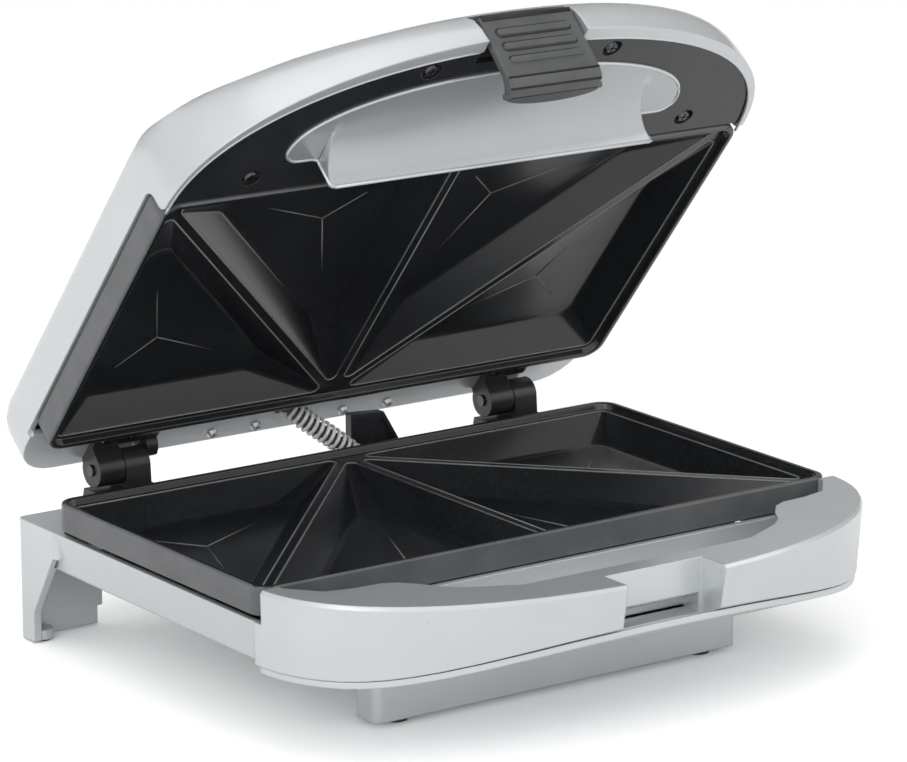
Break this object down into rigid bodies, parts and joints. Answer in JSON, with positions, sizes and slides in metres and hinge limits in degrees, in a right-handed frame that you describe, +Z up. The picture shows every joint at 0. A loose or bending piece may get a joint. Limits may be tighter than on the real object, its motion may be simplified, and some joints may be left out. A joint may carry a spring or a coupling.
{
  "type": "sandwich toaster",
  "caption": "Silver sandwich toaster with a hinged lid, dark triangle-pocket cooking plates, a bowed front with finger trough, and a lid latch.",
  "frame": {"origin": "centre of the footprint of the open toaster's bounding box, on the counter", "axes": "+X to the toaster's right seen from the front, +Y to the hinge at the back, +Z up"},
  "size_m": [0.234, 0.2318, 0.2236],
  "materials": {
    "silver_shell": "silver painted, semi gloss",
    "dark_trim": "satin moulded",
    "latch_plastic": "satin moulded",
    "hinge_metal": "dark painted",
    "nonstick": "dark non-stick coating",
    "steel": "plain",
    "spring_steel": "bright",
    "sheet_metal": "mill finish",
    "element_steel": "heat darkened",
    "rubber": "matt",
    "ivory_plastic": "satin",
    "lens_red": "clear tinted",
    "lens_green": "clear tinted",
    "sleeve": "woven glass sleeve"
  },
  "bodies": {
    "base": {"base_housing": "silver_shell", "base_cover": "silver_shell", "foot_pads": "rubber", "cord_bush": "rubber", "cover_screws": "steel", "lower_plate": "nonstick", "lower_element": "element_steel", "lower_clamps": "sheet_metal", "lower_reflector": "sheet_metal", "lower_plate_screws": "steel", "thermostat": "sheet_metal", "terminal_block": "ivory_plastic", "base_hinge_left": "hinge_metal", "base_hinge_right": "hinge_metal", "hinge_pin_left": "steel", "hinge_pin_right": "steel", "base_hinge_screws": "steel", "conduit_guard": "dark_trim", "conduit_spring": "spring_steel", "conduit_sleeve": "sleeve"},
    "lid": {"lid_housing": "silver_shell", "lid_trim": "dark_trim", "trim_screws": "steel", "lid_grip": "silver_shell", "upper_plate": "nonstick", "upper_element": "element_steel", "upper_clamps": "sheet_metal", "upper_reflector": "sheet_metal", "upper_plate_screws": "steel", "thermal_fuse": "ivory_plastic", "lid_hinge_left": "hinge_metal", "lid_hinge_right": "hinge_metal", "lid_hinge_screws": "steel", "deck_screws": "steel", "power_lens": "lens_red", "ready_lens": "lens_green", "lamp_carrier": "ivory_plastic", "latch_pin": "steel"},
    "latch": {"latch": "latch_plastic"}
  },
  "joints": [
    {"name": "lid_hinge", "type": "hinge", "parent": "base", "child": "lid", "pos_m": [0, 0.09485, 0.05625], "axis": [-1, 0, 0], "range_deg": [-50.2, 45], "deforming": ["conduit_spring", "conduit_sleeve"]},
    {"name": "latch_turn", "type": "hinge", "parent": "lid", "child": "latch", "pos_m": [0, -0.03277, 0.21701], "axis": [1, 0, 0], "range_deg": [-25, 12]}
  ]
}
